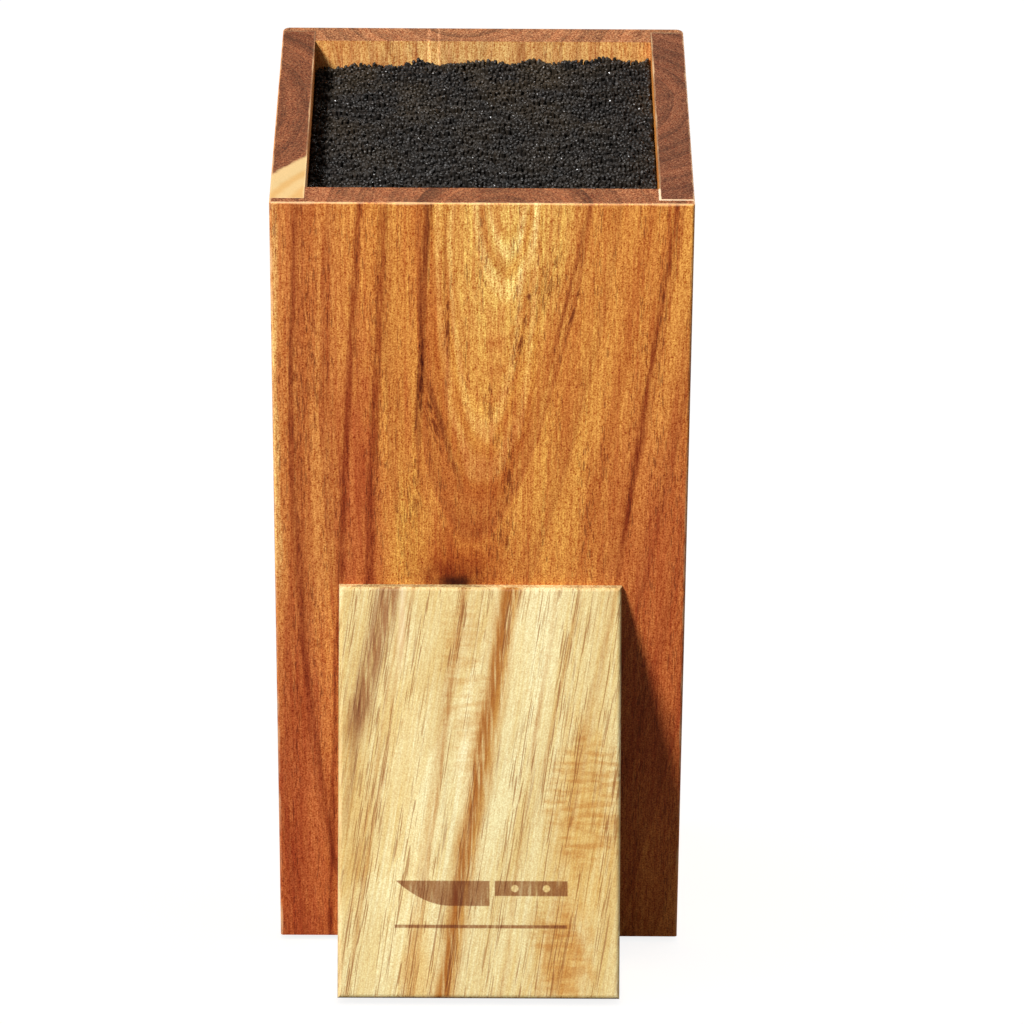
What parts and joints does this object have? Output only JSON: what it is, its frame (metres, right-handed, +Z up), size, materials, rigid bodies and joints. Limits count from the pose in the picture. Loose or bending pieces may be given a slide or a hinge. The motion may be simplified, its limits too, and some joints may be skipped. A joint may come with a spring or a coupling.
{
  "type": "knife block",
  "caption": "Leaning square wooden knife block on a wedge-shaped front foot, holding a lift-out pack of black bristles that takes blades of any shape.",
  "frame": {"origin": "on the table, under the middle of the block's bounding box", "axes": "+Z up, -Y the way the block faces and leans, X across it"},
  "size_m": [0.11, 0.1723, 0.2482],
  "materials": {
    "box_wood": "satin",
    "foot_wood": "satin",
    "base_wood": "matte",
    "screw_steel": "satin",
    "pad_rubber": "matte",
    "tray_plastic": "satin",
    "bristle_plastic": "satin"
  },
  "bodies": {
    "block": {"front_board": "box_wood", "back_board": "box_wood", "left_board": "box_wood", "right_board": "box_wood", "base_board": "base_wood", "front_foot": "foot_wood", "foot_screw_left": "screw_steel", "foot_screw_right": "screw_steel", "rubber_pad_front_left": "pad_rubber", "rubber_pad_front_right": "pad_rubber", "rubber_pad_back_left": "pad_rubber", "rubber_pad_back_right": "pad_rubber"},
    "insert": {"insert_tray": "tray_plastic", "bristle_row_01": "bristle_plastic", "bristle_row_02": "bristle_plastic", "bristle_row_03": "bristle_plastic", "bristle_row_04": "bristle_plastic", "bristle_row_05": "bristle_plastic", "bristle_row_06": "bristle_plastic", "bristle_row_07": "bristle_plastic", "bristle_row_08": "bristle_plastic", "bristle_row_09": "bristle_plastic", "bristle_row_10": "bristle_plastic"}
  },
  "joints": [
    {"name": "insert_lift", "type": "slide", "parent": "block", "child": "insert", "axis": [0, -0.2588, 0.9659], "range_m": [0, 0.22]}
  ]
}
